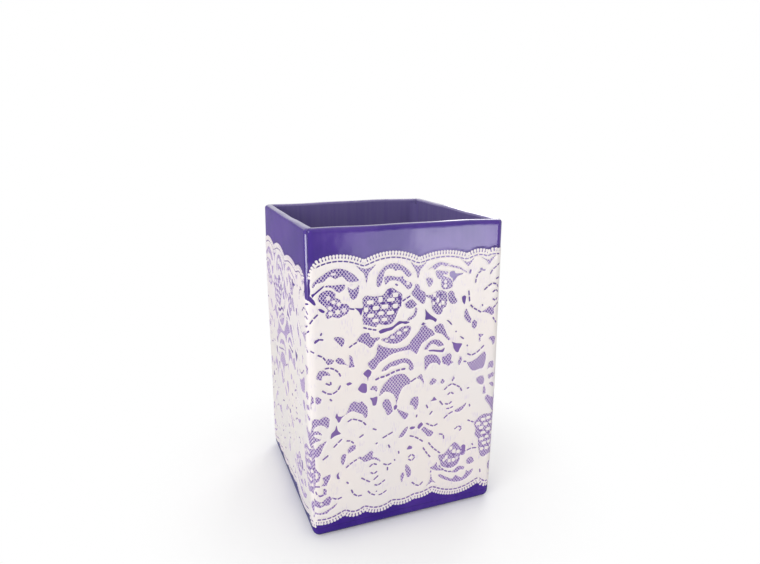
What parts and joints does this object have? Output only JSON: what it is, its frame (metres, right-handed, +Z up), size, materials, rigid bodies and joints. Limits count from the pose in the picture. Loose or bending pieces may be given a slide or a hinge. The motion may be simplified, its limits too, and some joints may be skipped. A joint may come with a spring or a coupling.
{
  "type": "utensil crock",
  "caption": "Tall square slab-built utensil crock, open at the top, with a scalloped band of lace relief wound round its walls.",
  "frame": {"origin": "middle of the flat underside, on the surface that the crock stands on", "axes": "+Z up along the crock's height, -Y out of the front wall, +X to the right as seen from the front"},
  "size_m": [0.1216, 0.1216, 0.186],
  "materials": {
    "violet_glaze": "glossy",
    "lace_slip": "satin"
  },
  "bodies": {
    "root": {"base_slab": "violet_glaze", "front_wall": "violet_glaze", "right_wall": "violet_glaze", "back_wall": "violet_glaze", "left_wall": "violet_glaze", "base_coil": "violet_glaze", "corner_coil_front_left": "violet_glaze", "corner_coil_front_right": "violet_glaze", "corner_coil_back_right": "violet_glaze", "corner_coil_back_left": "violet_glaze", "lace_band": "lace_slip"}
  },
  "joints": []
}
